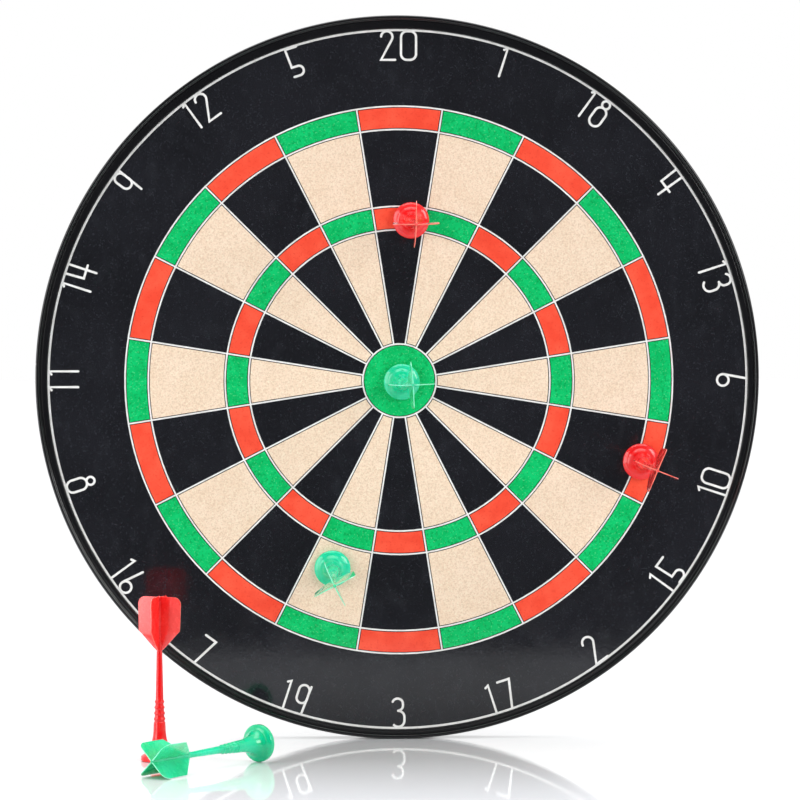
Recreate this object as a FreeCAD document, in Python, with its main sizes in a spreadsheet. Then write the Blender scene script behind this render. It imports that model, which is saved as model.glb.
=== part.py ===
"""Magnetic dartboard with six magnetic darts.

Row frame: +Z up, the printed face looks along -Y, and the origin is the centre of the back, on the
wall. The board hangs on one screw. Every board piece and every dart is drawn in a frame of its own
whose +Z is the way out of the wall or the way from a dart's head to its tail, and is then placed.
"""
import FreeCAD, Part
import math
import os
import re
import Sketcher

SIZES = (
    # board: radii from its centre and heights above the wall
    ("board_radius", 200.0, "outer radius of the edge trim"),
    ("disc_radius", 198.2, "radius of the core, the steel and the printed sheet"),
    ("slot_radius", 198.4, "bottom of the trim's slot"),
    ("back_lip_radius", 193.8, "inner edge of the trim's back lip"),
    ("front_lip_radius", 193.9, "inner edge of the trim's front lip"),
    ("cover_radius", 193.6, "radius of the back cover"),
    ("cover_top", 2.0, "back cover: height of its inner face"),
    ("core_top", 12.1, "core board: height of its front face"),
    ("steel_top", 12.6, "steel sheet: height of its front face"),
    ("sheet_top", 13.0, "printed sheet: height of its front face"),
    ("ink", 0.1, "thickness of the printed inks"),
    ("lip_top", 14.2, "front lip of the trim"),
    ("groove_bottom", 13.6, "groove between the lip and the bead"),
    ("groove_width", 1.2, "width of that groove"),
    ("bead_radius", 1.1, "bead along the outer edge: half its width, and its height"),
    ("back_round", 0.8, "chamfer of the trim's back corner"),
    # print: radii of the white rings, measured at the middle of each line
    ("line", 0.85, "width of the white lines"),
    ("outline", 0.45, "black gap that each coloured field leaves beside a line"),
    ("double_outer", 151.4, "outer ring of the doubles"),
    ("double_inner", 138.6, "inner ring of the doubles"),
    ("treble_outer", 96.3, "outer ring of the trebles"),
    ("treble_inner", 83.3, "inner ring of the trebles"),
    ("bull_outer", 20.3, "ring round the outer bull"),
    ("bull_inner", 7.6, "ring round the inner bull"),
    ("print_right", 0.7, "fields and lines: printed this far right of the middle"),
    ("print_low", 1.3, "fields and lines: printed this far below the middle"),
    ("ring_outer", 193.6, "outer edge of the number ring"),
    ("ring_inner", 192.4, "inner edge of the number ring"),
    ("number_height", 17.0, "height of a number"),
    ("number_line", 1.27, "width of the numbers' strokes"),
    ("number_gap", 3.2, "least space between two digits"),
    # hanger: a keyhole plate let in at the top of the back
    ("hanger_height", 150.0, "plate's centre above the board's centre"),
    ("plate_width", 50.0, "hanger plate: across"),
    ("plate_height", 28.0, "hanger plate: up and down"),
    ("plate_corner", 3.0, "hanger plate: corner radius"),
    ("plate_back", 0.8, "hanger plate: its outer face stands this far in from the wall"),
    ("window_gap", 0.4, "gap round the plate in the cover's window"),
    ("key_radius", 5.0, "keyhole: radius of the round part"),
    ("key_drop", 4.5, "keyhole: round part's centre below the plate's centre"),
    ("key_slot", 2.5, "keyhole: half width of the slot"),
    ("key_rise", 6.5, "keyhole: end of the slot above the plate's centre"),
    ("pocket_width", 15.0, "pocket for the screw's head: across"),
    ("pocket_height", 24.0, "pocket for the screw's head: up and down"),
    ("pocket_depth", 5.0, "pocket for the screw's head: depth into the core"),
    ("screw_spacing", 38.0, "plate's screws: centre to centre"),
    ("screw_radius", 1.5, "plate's screws: radius of the shank"),
    ("screw_head", 3.1, "plate's screws: radius of the low head"),
    ("screw_head_depth", 0.65, "plate's screws: thickness of the head"),
    ("screw_length", 9.0, "plate's screws: length of the shank"),
    ("screw_gap", 0.1, "clearance round the shank in the plate"),
    # dart: radii from its axis and heights from the head's flat face
    ("head_radius", 10.0, "dart: radius of the head"),
    ("head_edge", 3.0, "dart: thickness of the head's edge"),
    ("head_round", 0.6, "dart: chamfer of the head's edge"),
    ("crease_radius", 7.0, "dart: step between the head's edge and its trumpet"),
    ("crease_height", 4.3, "dart: height of that step"),
    ("neck_radius", 3.4, "dart: top of the trumpet"),
    ("neck_height", 15.0, "dart: height of the top of the trumpet"),
    ("grip_start", 20.9, "dart: lower end of the ribbed grip"),
    ("grip_end", 33.2, "dart: upper end of the ribbed grip"),
    ("grip_start_radius", 2.75, "dart: root of the lowest rib"),
    ("grip_end_radius", 2.05, "dart: root at the grip's upper end"),
    ("barrel_end_radius", 3.15, "dart: plain barrel just under the grip"),
    ("rib_pitch", 3.05, "dart: from rib to rib"),
    ("rib_width", 1.9, "dart: width of a rib at its root"),
    ("rib_height", 0.4, "dart: height of a rib's crest over its root"),
    ("shaft_end", 58.5, "dart: end of the shaft"),
    ("shaft_end_radius", 1.5, "dart: radius at the shaft's end"),
    ("magnet_radius", 7.4, "dart: magnet"),
    ("magnet_depth", 3.0, "dart: thickness of the magnet"),
    ("magnet_gap", 0.1, "dart: glue gap round the magnet"),
    ("pin_radius", 0.85, "dart: pin of the flight"),
    ("pin_length", 7.0, "dart: length of the pin"),
    ("pin_gap", 0.05, "dart: clearance round the pin"),
    ("pin_end_gap", 0.5, "dart: space past the pin's end"),
    ("dart_length", 88.0, "dart: whole length"),
    ("vane_reach", 12.5, "dart: reach of a vane from the axis"),
    ("vane_thickness", 0.6, "dart: thickness of a vane"),
    ("vane_slope", 11.0, "dart: height of the vane's sloping front edge"),
    ("vane_corner", 4.0, "dart: rounding of the vane's rear corner"),
    ("vane_waist", 0.6, "dart: how much the vane narrows towards its front"),
    ("nub", 0.5, "dart: core stands this far past the vanes"),
    ("core_end_radius", 0.9, "dart: flight's core at the tail"),
    # where the darts are
    ("cling_gap", 0.1, "space between a dart's head and the inks"),
    ("floor_gap", 0.05, "space between the loose darts and what they rest on"),
)

# Numbers clockwise from the top.
NUMBERS = (20, 1, 18, 4, 13, 6, 10, 15, 2, 17, 3, 19, 7, 16, 8, 11, 14, 9, 12, 5)
# The lower numbers are printed with their feet outwards, so that they read upright.
FEET_OUTWARDS = (10, 15, 2, 17, 3, 19, 7, 16, 8)
SECTOR = 360.0 / len(NUMBERS)
# A coloured field stops this far from the middle of a white line.
INSET = "(line / 2 + outline)"

# Darts on the board: name, across, up, and the turn of the vanes in degrees.
CLINGING_DARTS = (
    ("red_dart_treble", 7.0, 87.2, -1.0),
    ("green_dart_bull", 1.9, -1.9, 3.0),
    ("red_dart_double", 134.4, -46.3, -22.0),
    ("green_dart_single", -36.4, -105.1, 27.0),
)
# One dart stands on its head in front of the board and one lies before it: name, across, distance
# from the wall, and the turn of the vanes or the way it points.
STANDING_DART = ("red_dart_standing", -130.3, 102.5, -23.0)
LYING_DART = ("green_dart_lying", -76.7, 108.0, 50.0)
LYING_ROLL = 45.0

TRUMPET_STEPS = 4
RIBS = 4

OUT_OF_THE_WALL = FreeCAD.Rotation(FreeCAD.Vector(1, 0, 0), 90)

doc = FreeCAD.newDocument("magnetic_dartboard")
sheet = doc.addObject("Spreadsheet::Sheet", "Sizes")
for row, (alias, value, meaning) in enumerate(SIZES, start=1):
    sheet.set(f"A{row}", meaning)
    sheet.set(f"B{row}", str(value))
    sheet.setAlias(f"B{row}", alias)
doc.recompute()

ALIAS = re.compile(r"\b(" + "|".join(alias for alias, value, meaning in SIZES) + r")\b")
parts = []


def bound(text):
    """An expression on the spreadsheet, written with bare aliases."""
    return ALIAS.sub(r"Sizes.\1", text)


def size(text):
    """The present value of such an expression."""
    return float(sheet.evalExpression(bound(text)))


# ---- sketches -----------------------------------------------------------------------------------


def arc_between(start, end, radius, turn):
    """The short arc from start to end that turns left or right, and whether it runs backwards."""
    chord = end - start
    rise = math.sqrt(max(radius * radius - chord.Length * chord.Length / 4, 0.0))
    left = FreeCAD.Vector(-chord.y, chord.x, 0).normalize()
    side = 1 if turn == "left" else -1
    centre = (start + end) * 0.5 + left * (rise * side)
    first, last = (start, end) if side > 0 else (end, start)
    angles = [math.atan2(p.y - centre.y, p.x - centre.x) for p in (first, last)]
    circle = Part.Circle(centre, FreeCAD.Vector(0, 0, 1), radius)
    return Part.ArcOfCircle(circle, angles[0], angles[1]), side < 0


def draw_outline(sketch, corners):
    """A closed outline. A corner is (x, y), then a straight run to the next one, or (x, y, turn,
    radius), then an arc. Every x, y and radius is an expression on the spreadsheet."""
    points = [FreeCAD.Vector(size(c[0]), size(c[1]), 0) for c in corners]
    ends = []
    for i, corner in enumerate(corners):
        start = points[i]
        end = points[(i + 1) % len(points)]
        if len(corner) == 2:
            edge = sketch.addGeometry(Part.LineSegment(start, end), False)
            ends.append((edge, 1, 2))
        else:
            shape, backwards = arc_between(start, end, size(corner[3]), corner[2])
            edge = sketch.addGeometry(shape, False)
            ends.append((edge, 2, 1) if backwards else (edge, 1, 2))
    for i, (edge, first, last) in enumerate(ends):
        after, after_first, after_last = ends[(i + 1) % len(ends)]
        sketch.addConstraint(Sketcher.Constraint("Coincident", edge, last, after, after_first))
    for (edge, first, last), corner, point in zip(ends, corners, points):
        across = sketch.addConstraint(Sketcher.Constraint("DistanceX", edge, first, point.x))
        sketch.setExpression(f"Constraints[{across}]", bound(corner[0]))
        up = sketch.addConstraint(Sketcher.Constraint("DistanceY", edge, first, point.y))
        sketch.setExpression(f"Constraints[{up}]", bound(corner[1]))
        if len(corner) == 4:
            bend = sketch.addConstraint(Sketcher.Constraint("Radius", edge, size(corner[3])))
            sketch.setExpression(f"Constraints[{bend}]", bound(corner[3]))


def draw_circle(sketch, x, y, radius):
    """A circle with its centre and radius bound to the spreadsheet."""
    centre = FreeCAD.Vector(size(x), size(y), 0)
    circle = Part.Circle(centre, FreeCAD.Vector(0, 0, 1), size(radius))
    edge = sketch.addGeometry(circle, False)
    for kind, text, value in (("DistanceX", x, centre.x), ("DistanceY", y, centre.y)):
        place = sketch.addConstraint(Sketcher.Constraint(kind, edge, 3, value))
        sketch.setExpression(f"Constraints[{place}]", bound(text))
    width = sketch.addConstraint(Sketcher.Constraint("Radius", edge, size(radius)))
    sketch.setExpression(f"Constraints[{width}]", bound(radius))


def rounded_rectangle(width, height, corner, middle="0"):
    """Corners of a rectangle about (0, middle), with its corners rounded."""
    x, y = f"({width}) / 2", f"({height}) / 2"
    left, right = f"-{x}", x
    low, high = f"{middle} - {y}", f"{middle} + {y}"
    return (
        (f"{left} + {corner}", low),
        (f"{right} - {corner}", low, "left", corner),
        (right, f"{low} + {corner}"),
        (right, f"{high} - {corner}", "left", corner),
        (f"{right} - {corner}", high),
        (f"{left} + {corner}", high, "left", corner),
        (left, f"{high} - {corner}"),
        (left, f"{low} + {corner}", "left", corner),
    )


# ---- features -----------------------------------------------------------------------------------


def new_body(label):
    """An empty body that may hold several separate solids."""
    body = doc.addObject("PartDesign::Body", label)
    body.Label = label
    body.AllowCompound = True
    parts.append(body)
    return body


def origin_feature(body, role):
    """The body's own plane or axis of that role."""
    return next(f for f in body.Origin.OriginFeatures if f.Role == role)


def new_sketch(body, name, role="XY_Plane", height=None):
    """A sketch on one of the body's own planes, raised along its normal to height."""
    sketch = body.newObject("Sketcher::SketchObject", name)
    sketch.AttachmentSupport = (origin_feature(body, role), "")
    sketch.MapMode = "FlatFace"
    if height is not None:
        sketch.setExpression("AttachmentOffset.Base.z", bound(height))
    return sketch


def revolve(body, name, corners, kind="PartDesign::Revolution"):
    """Turn a half section, drawn as (radius, height), about the body's Z axis."""
    sketch = new_sketch(body, name + "_section", "XZ_Plane")
    draw_outline(sketch, corners)
    feature = body.newObject(kind, name)
    feature.Profile = sketch
    feature.ReferenceAxis = (sketch, ["V_Axis"])
    feature.Angle = 360
    return feature


def disc(body, name, radius, low, high):
    """A plain disc about the Z axis."""
    return revolve(body, name, (("0", low), (radius, low), (radius, high), ("0", high)))


def pad(body, name, sketch, length):
    """Raise a sketch along its normal."""
    feature = body.newObject("PartDesign::Pad", name)
    feature.Profile = sketch
    feature.setExpression("Length", bound(length))
    return feature


def cut_up(body, name, sketch, length):
    """Cut a sketch along its normal, into the solid above it."""
    doc.recompute()
    before = body.Shape.Volume
    feature = body.newObject("PartDesign::Pocket", name)
    feature.Profile = sketch
    feature.Reversed = True
    feature.setExpression("Length", bound(length))
    doc.recompute()
    if body.Shape.Volume > before - 1e-6:
        raise RuntimeError(f"{name} cuts nothing")
    return feature


def polar(body, name, features, count):
    """Repeat features all round the Z axis."""
    pattern = body.newObject("PartDesign::PolarPattern", name)
    pattern.Originals = list(features)
    pattern.Axis = (origin_feature(body, "Z_Axis"), [""])
    pattern.Angle = 360
    pattern.Occurrences = count
    body.Tip = pattern
    return pattern


# ---- board --------------------------------------------------------------------------------------


def edge_trim():
    """A strip of U section: back lip, wall, bead, groove and front lip."""
    body = new_body("edge_trim")
    bead_inside = "board_radius - 2 * bead_radius"
    bead_foot = "(lip_top - 0.3)"
    corners = (
        ("back_lip_radius", "0"),
        ("board_radius - back_round", "0"),
        ("board_radius", "back_round"),
        ("board_radius", bead_foot),
        ("board_radius - bead_radius", f"{bead_foot} + bead_radius"),
        (bead_inside, bead_foot),
        (f"{bead_inside} - 0.2", "groove_bottom"),
        (f"{bead_inside} + 0.2 - groove_width", "groove_bottom"),
        (f"{bead_inside} - groove_width", "lip_top"),
        ("front_lip_radius", "lip_top"),
        ("front_lip_radius", "sheet_top"),
        ("slot_radius", "sheet_top"),
        ("slot_radius", "cover_top"),
        ("back_lip_radius", "cover_top"),
    )
    revolve(body, "edge_trim_ring", corners)


def core_board():
    """The fibreboard disc, with the pocket for the wall screw's head and two pilot holes."""
    body = new_body("core_board")
    disc(body, "core_disc", "disc_radius", "cover_top", "core_top")
    pocket = new_sketch(body, "head_pocket_outline", "XY_Plane", "cover_top")
    middle = "hanger_height + (key_rise - key_drop) / 2"
    draw_outline(pocket, rounded_rectangle("pocket_width", "pocket_height", "plate_corner", middle))
    cut_up(body, "head_pocket", pocket, "pocket_depth")
    pilots = new_sketch(body, "pilot_circles", "XY_Plane", "cover_top")
    for side in ("-", ""):
        draw_circle(pilots, f"{side}screw_spacing / 2", "hanger_height", "screw_radius")
    cut_up(body, "pilot_holes", pilots, "screw_length")


def back_cover():
    """The hardboard disc on the back, with a window for the hanger plate."""
    body = new_body("back_cover")
    disc(body, "cover_disc", "cover_radius", "0", "cover_top")
    window = new_sketch(body, "window_outline")
    width, height = "plate_width + 2 * window_gap", "plate_height + 2 * window_gap"
    corner = "(plate_corner + window_gap)"
    draw_outline(window, rounded_rectangle(width, height, corner, "hanger_height"))
    cut_up(body, "plate_window", window, "cover_top")


def hanger_plate():
    """The steel plate that hangs on the wall screw: a round hole with a slot above it."""
    body = new_body("hanger_plate")
    blank = new_sketch(body, "plate_outline", "XY_Plane", "plate_back")
    outline = rounded_rectangle("plate_width", "plate_height", "plate_corner", "hanger_height")
    draw_outline(blank, outline)
    thickness = "cover_top - plate_back"
    pad(body, "plate_blank", blank, thickness)
    keyhole = new_sketch(body, "keyhole_outline", "XY_Plane", "plate_back")
    middle = "hanger_height - key_drop"
    neck = f"{middle} + sqrt(key_radius ^ 2 - key_slot ^ 2)"
    slot_end = "hanger_height + key_rise"
    corners = (
        ("-key_slot", neck, "left", "key_radius"),
        ("-key_radius", middle, "left", "key_radius"),
        ("0", f"{middle} - key_radius", "left", "key_radius"),
        ("key_radius", middle, "left", "key_radius"),
        ("key_slot", neck),
        ("key_slot", slot_end, "left", "key_slot"),
        ("0", f"{slot_end} + key_slot", "left", "key_slot"),
        ("-key_slot", slot_end),
    )
    draw_outline(keyhole, corners)
    cut_up(body, "keyhole", keyhole, thickness)
    holes = new_sketch(body, "screw_circles", "XY_Plane", "plate_back")
    for side in ("-", ""):
        draw_circle(holes, f"{side}screw_spacing / 2", "hanger_height", "screw_radius + screw_gap")
    cut_up(body, "screw_holes", holes, thickness)


def hanger_screws():
    """Two screws with low round heads."""
    turned = []
    for side in ("-", ""):
        for name, radius, low, length in (
            ("head", "screw_head", "plate_back - screw_head_depth", "screw_head_depth"),
            ("shank", "screw_radius", "plate_back", "screw_length"),
        ):
            cylinder = doc.addObject("Part::Cylinder", f"screw_{name}")
            cylinder.setExpression("Radius", bound(radius))
            cylinder.setExpression("Height", bound(length))
            cylinder.setExpression("Placement.Base.x", bound(f"{side}screw_spacing / 2"))
            cylinder.setExpression("Placement.Base.y", bound("hanger_height"))
            cylinder.setExpression("Placement.Base.z", bound(low))
            turned.append(cylinder)
    screws = doc.addObject("Part::MultiFuse", "hanger_screws")
    screws.Label = "hanger_screws"
    screws.Shapes = turned
    screws.Refine = True
    parts.append(screws)


# ---- print --------------------------------------------------------------------------------------


def field_corners(inner, outer):
    """One coloured field about the direction straight up. Its sides run beside the white lines, so
    they are parallel to the sector's edges and not radial."""
    low, high = f"({inner} + {INSET})", f"({outer} - {INSET})"
    corners = []
    for side, radius, bend in (
        ("-", low, ("right", low)),
        ("", low, None),
        ("", high, ("left", high)),
        ("-", high, None),
    ):
        angle = f"({SECTOR / 2} deg - asin({INSET} / {radius}))"
        corner = (f"{side}{radius} * sin({angle})", f"{radius} * cos({angle})")
        corners.append(corner if bend is None else corner + bend)
    return corners


def printed_fields(label, bands, first_sector, bull):
    """Every second field of each band, and the disc or ring of the bull if it has this colour."""
    body = new_body(label)
    fields = new_sketch(body, label + "_outline", "XY_Plane", "sheet_top")
    turn = FreeCAD.Rotation(FreeCAD.Vector(0, 0, 1), -SECTOR * first_sector)
    fields.AttachmentOffset = FreeCAD.Placement(FreeCAD.Vector(0, 0, size("sheet_top")), turn)
    for inner, outer in bands:
        draw_outline(fields, field_corners(inner, outer))
    raised = pad(body, label + "_field", fields, "ink")
    polar(body, label + "_all_round", [raised], len(NUMBERS) // 2)
    if bull:
        middle = new_sketch(body, label + "_bull_circles", "XY_Plane", "sheet_top")
        for radius in bull:
            draw_circle(middle, "0", "0", radius)
        body.Tip = pad(body, label + "_bull", middle, "ink")


def white_lines():
    """The printed net: a ring at each radius and twenty straight lines out from the bull."""
    body = new_body("white_lines")
    rings = new_sketch(body, "ring_circles", "XY_Plane", "sheet_top")
    for radius in ("bull_outer", "treble_inner", "treble_outer", "double_inner", "double_outer"):
        draw_circle(rings, "0", "0", f"{radius} - line / 2")
        draw_circle(rings, "0", "0", f"{radius} + line / 2")
    draw_circle(rings, "0", "0", "bull_inner - line / 2")
    draw_circle(rings, "0", "0", "bull_inner + line / 2")
    pad(body, "rings", rings, "ink")
    spoke = new_sketch(body, "spoke_outline", "XY_Plane", "sheet_top")
    turn = FreeCAD.Rotation(FreeCAD.Vector(0, 0, 1), SECTOR / 2)
    spoke.AttachmentOffset = FreeCAD.Placement(FreeCAD.Vector(0, 0, size("sheet_top")), turn)
    corners = (
        ("-line / 2", "bull_outer"),
        ("line / 2", "bull_outer"),
        ("line / 2", "double_outer"),
        ("-line / 2", "double_outer"),
    )
    draw_outline(spoke, corners)
    raised = pad(body, "spoke", spoke, "ink")
    polar(body, "spokes", [raised], len(NUMBERS))


def straight(x0, y0, x1, y1):
    """A straight piece of a digit."""
    return Part.makeLine(FreeCAD.Vector(x0, y0, 0), FreeCAD.Vector(x1, y1, 0))


def arc(x, y, radius, first, last):
    """A round piece of a digit, from the angle first to the angle last in degrees."""
    def at(angle):
        turn = math.radians(angle)
        return FreeCAD.Vector(x + radius * math.cos(turn), y + radius * math.sin(turn), 0)
    return Part.Arc(at(first), at((first + last) / 2), at(last)).toShape()


def oval(x, low, high, radius):
    """A closed loop with round ends, centred on x between the heights low and high."""
    bottom, crown = low + radius, high - radius
    loop = [arc(x, bottom, radius, 180, 360), arc(x, crown, radius, 0, 180)]
    if crown - bottom > 0.01:
        loop.insert(1, straight(x + radius, bottom, x + radius, crown))
        loop.append(straight(x - radius, crown, x - radius, bottom))
    return loop


def digit_strokes(top):
    """For each digit the space before it, its width and its strokes, each a list of joined pieces.
    Heights are of the pen's middle: zero for the lowest stroke and top for the highest."""
    hook, bowl, waist = 3.15, 3.4, 8.9
    crown = top - hook
    turn = math.radians(28)
    zero, zero_corner = 8.3, 3.3
    two = [
        arc(hook, crown, hook, 175, -28),
        straight(hook + hook * math.cos(turn), crown - hook * math.sin(turn), 0, 0),
        straight(0, 0, 7.8, 0),
    ]
    three = [
        arc(2.7, top - 3.0, 3.0, 155, 0),
        straight(5.7, top - 3.0, 5.7, waist + 3.0),
        arc(2.7, waist + 3.0, 3.0, 0, -85),
    ]
    three_bowl = [
        arc(3.1, waist - bowl, bowl, 90, 0),
        straight(3.1 + bowl, waist - bowl, 3.1 + bowl, bowl),
        arc(3.1, bowl, bowl, 0, -135),
    ]
    four = [straight(0, top, 0.4, 5.7), straight(0.4, 5.7, 7.9, 5.8)]
    five = [straight(6.4, top, 0, top), straight(0, top, 0.6, 5.3), straight(0.6, 5.3, 3.9, 5.3)]
    five_bowl = [arc(3.9, 2.65, 2.65, 90, -90), straight(3.9, 0, 0.5, 0)]
    return {
        0: (0.0, zero, [[
            straight(zero_corner, 0, zero - zero_corner, 0),
            arc(zero - zero_corner, zero_corner, zero_corner, -90, 0),
            straight(zero, zero_corner, zero, top - zero_corner),
            arc(zero - zero_corner, top - zero_corner, zero_corner, 0, 90),
            straight(zero - zero_corner, top, zero_corner, top),
            arc(zero_corner, top - zero_corner, zero_corner, 90, 180),
            straight(0, top - zero_corner, 0, zero_corner),
            arc(zero_corner, zero_corner, zero_corner, 180, 270),
        ]]),
        1: (3.8, 1.7, [[straight(0, top - 1.0, 1.7, top), straight(1.7, top, 1.7, 0)]]),
        2: (2.2, 7.8, [two]),
        3: (2.2, 6.5, [three, three_bowl]),
        4: (2.2, 7.9, [four, [straight(5.4, top, 5.3, 0)]]),
        5: (2.2, 6.6, [five, five_bowl]),
        6: (2.2, 6.5, [oval(3.3, 0, 6.4, 3.2), [straight(2.3, top, 0.15, 4.0)]]),
        7: (2.2, 6.8, [[straight(0, top, 6.8, top), straight(6.8, top, 3.7, 0)]]),
        8: (2.2, 6.7, [oval(3.35, 0, top - 4.4, 3.35), oval(3.35, top - 4.4, top, 2.2)]),
        9: (2.2, 6.2, [oval(2.95, 5.5, top, 2.95), [straight(6.2, top, 5.3, 0)]]),
    }


def pen_line(stroke, half):
    """The flat shape of a pen of that half width drawn along one straight line."""
    start, end = stroke.firstVertex().Point, stroke.lastVertex().Point
    along = (end - start).normalize() * half
    aside = FreeCAD.Vector(-along.y, along.x, 0)
    corners = [start + aside, end + aside, end - aside, start - aside, start + aside]
    return Part.Face(Part.makePolygon(corners))


def square_ended(wire, half):
    """The flat shape of a pen drawn along an open wire, with sharp corners and square ends."""
    sides = [wire.makeOffset2D(distance, 2, False, True) for distance in (half, -half)]
    edges = sides[0].Edges + sides[1].Edges
    for end in (wire.OrderedVertexes[0], wire.OrderedVertexes[-1]):
        nearest = [
            min((corner.Point for corner in side.Vertexes), key=end.Point.distanceToPoint)
            for side in sides
        ]
        edges.append(Part.makeLine(*nearest))
    return Part.Face(Part.Wire(Part.sortEdges(edges)[0]))


def stroke_face(pieces, half):
    """The flat shape of a pen of that half width drawn along joined pieces."""
    if len(pieces) == 1 and isinstance(pieces[0].Curve, Part.Line):
        return pen_line(pieces[0], half)
    wire = Part.Wire(pieces)
    if not wire.isClosed():
        return square_ended(wire, half)
    rims = [wire.makeOffset2D(distance) for distance in (half, -half)]
    outside, inside = sorted(rims, key=lambda rim: -rim.BoundBox.DiagonalLength)
    return Part.Face(outside).cut(Part.Face(inside))


def number_ring():
    """The outer ring and the twenty numbers, which grow inwards from it in one print."""
    half = size("number_line") / 2
    top = size("number_height") - 2 * half
    digits = digit_strokes(top)
    # The pen's edge reaches the middle of the ring's line, so that ring and numbers are one.
    rim = (size("ring_inner") + size("ring_outer")) / 2
    low = size("sheet_top")
    ring = Part.makeCylinder(size("ring_outer"), size("ink"), FreeCAD.Vector(0, 0, low))
    ring = ring.cut(Part.makeCylinder(size("ring_inner"), size("ink"), FreeCAD.Vector(0, 0, low)))
    strokes_printed = []
    for place, number in enumerate(NUMBERS):
        written = [digits[int(character)] for character in str(number)]
        spaces = [size("number_gap") + space for space, width, strokes in written[1:]] + [0]
        across = -(sum(width for space, width, strokes in written) + sum(spaces)) / 2
        for (space, width, strokes), after in zip(written, spaces):
            for pieces in strokes:
                face = stroke_face([piece.copy() for piece in pieces], half)
                stroke = face.extrude(FreeCAD.Vector(0, 0, size("ink")))
                if number in FEET_OUTWARDS:
                    stroke.translate(FreeCAD.Vector(across, half, low))
                    stroke.rotate(FreeCAD.Vector(), FreeCAD.Vector(0, 0, 1), 180)
                    stroke.translate(FreeCAD.Vector(0, rim, 0))
                else:
                    stroke.translate(FreeCAD.Vector(across, rim - half - top, low))
                stroke.rotate(FreeCAD.Vector(), FreeCAD.Vector(0, 0, 1), -SECTOR * place)
                strokes_printed.append(stroke)
            across += width + after
    solid = ring.multiFuse(strokes_printed).removeSplitter()
    numbers = doc.addObject("Part::Feature", "number_ring")
    numbers.Label = "number_ring"
    numbers.Shape = solid
    parts.append(numbers)


# ---- darts --------------------------------------------------------------------------------------


def barrel_section():
    """Half section of the barrel: flat face, edge, dome, trumpet, ribbed grip, tapered shaft."""
    corners = [
        ("0", "0"),
        ("head_radius - head_round", "0"),
        ("head_radius", "head_round"),
        ("head_radius", "head_edge - head_round"),
        ("head_radius - head_round", "head_edge"),
        ("crease_radius", "crease_height"),
    ]
    # The trumpet follows a round curve from the crease to the neck, in straight steps.
    rise, fall = "(neck_height - crease_height)", "(crease_radius - neck_radius)"
    for step in range(1, TRUMPET_STEPS):
        share = step / TRUMPET_STEPS
        height = f"crease_height + {rise} * {share ** 1.5:.3f}"
        corners.append((f"neck_radius + {fall} * {(1 - share) ** 2:.3f}", height))
    corners += [
        ("neck_radius", "neck_height"),
        ("barrel_end_radius", "grip_start - 0.3"),
        ("grip_start_radius", "grip_start"),
    ]
    slope = "(grip_start_radius - grip_end_radius) / (grip_end - grip_start)"
    first_rib = "(grip_start + (rib_pitch - rib_width) / 2)"
    for rib in range(RIBS):
        for share, rise in ((0, "0"), (0.5, "rib_height"), (1, "0")):
            height = f"({first_rib} + {rib} * rib_pitch + {share} * rib_width)"
            radius = f"grip_start_radius - ({height} - grip_start) * {slope} + {rise}"
            corners.append((radius, height))
    corners += [
        ("grip_end_radius", "grip_end"),
        ("shaft_end_radius", "shaft_end"),
        ("0", "shaft_end"),
    ]
    return corners


def dart_barrel(label):
    """The moulded barrel, hollowed for the magnet and for the flight's pin."""
    body = new_body(label)
    revolve(body, label + "_turned", barrel_section())
    seat = "(magnet_radius + magnet_gap)"
    revolve(body, label + "_magnet_seat",
            (("0", "0"), (seat, "0"), (seat, "magnet_depth"), ("0", "magnet_depth")),
            "PartDesign::Groove")
    bore, bottom = "(pin_radius + pin_gap)", "(shaft_end - pin_length - pin_end_gap)"
    revolve(body, label + "_pin_bore",
            (("0", bottom), (bore, bottom), (bore, "shaft_end"), ("0", "shaft_end")),
            "PartDesign::Groove")
    return body


def dart_magnet(label):
    """The disc magnet in the head."""
    body = new_body(label)
    disc(body, label + "_disc", "magnet_radius", "0", "magnet_depth")
    return body


def dart_flight(label):
    """Four vanes round a tapered core, with the pin that goes into the shaft."""
    body = new_body(label)
    vane_end = "(dart_length - nub)"
    revolve(body, label + "_core", (
        ("0", "shaft_end - pin_length"),
        ("pin_radius", "shaft_end - pin_length"),
        ("pin_radius", "shaft_end"),
        ("shaft_end_radius", "shaft_end"),
        ("core_end_radius", "shaft_end + vane_slope / 2"),
        ("core_end_radius", "dart_length"),
        ("0", "dart_length"),
    ))
    outline = new_sketch(body, label + "_vane_outline", "XZ_Plane", "-vane_thickness / 2")
    root = "core_end_radius / 2"
    draw_outline(outline, (
        (root, "shaft_end + 0.2"),
        ("shaft_end_radius", "shaft_end + 0.2"),
        ("vane_reach - vane_waist", "shaft_end + vane_slope"),
        ("vane_reach", f"{vane_end} - vane_corner", "left", "vane_corner"),
        ("vane_reach - vane_corner", vane_end),
        (root, vane_end),
    ))
    vane = pad(body, label + "_vane", outline, "vane_thickness")
    polar(body, label + "_vanes", [vane], 4)
    return body


def make_dart(name, placement):
    """The three pieces of one dart, all drawn in the dart's own frame."""
    for make, piece in ((dart_barrel, "barrel"), (dart_magnet, "magnet"), (dart_flight, "flight")):
        make(f"{name}_{piece}").Placement = placement


def clinging_placement(across, up, turn):
    """A dart whose head clings to the board: its axis points out of the wall."""
    out = size("sheet_top + ink + cling_gap")
    spin = FreeCAD.Rotation(FreeCAD.Vector(0, 0, 1), turn)
    return FreeCAD.Placement(FreeCAD.Vector(across, -out, up), OUT_OF_THE_WALL.multiply(spin))


def standing_placement(across, out, turn):
    """A dart that stands on its head at the height of the board's lowest edge."""
    low = size("floor_gap - board_radius")
    spin = FreeCAD.Rotation(FreeCAD.Vector(0, 0, 1), turn)
    return FreeCAD.Placement(FreeCAD.Vector(across, -out, low), spin)


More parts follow.
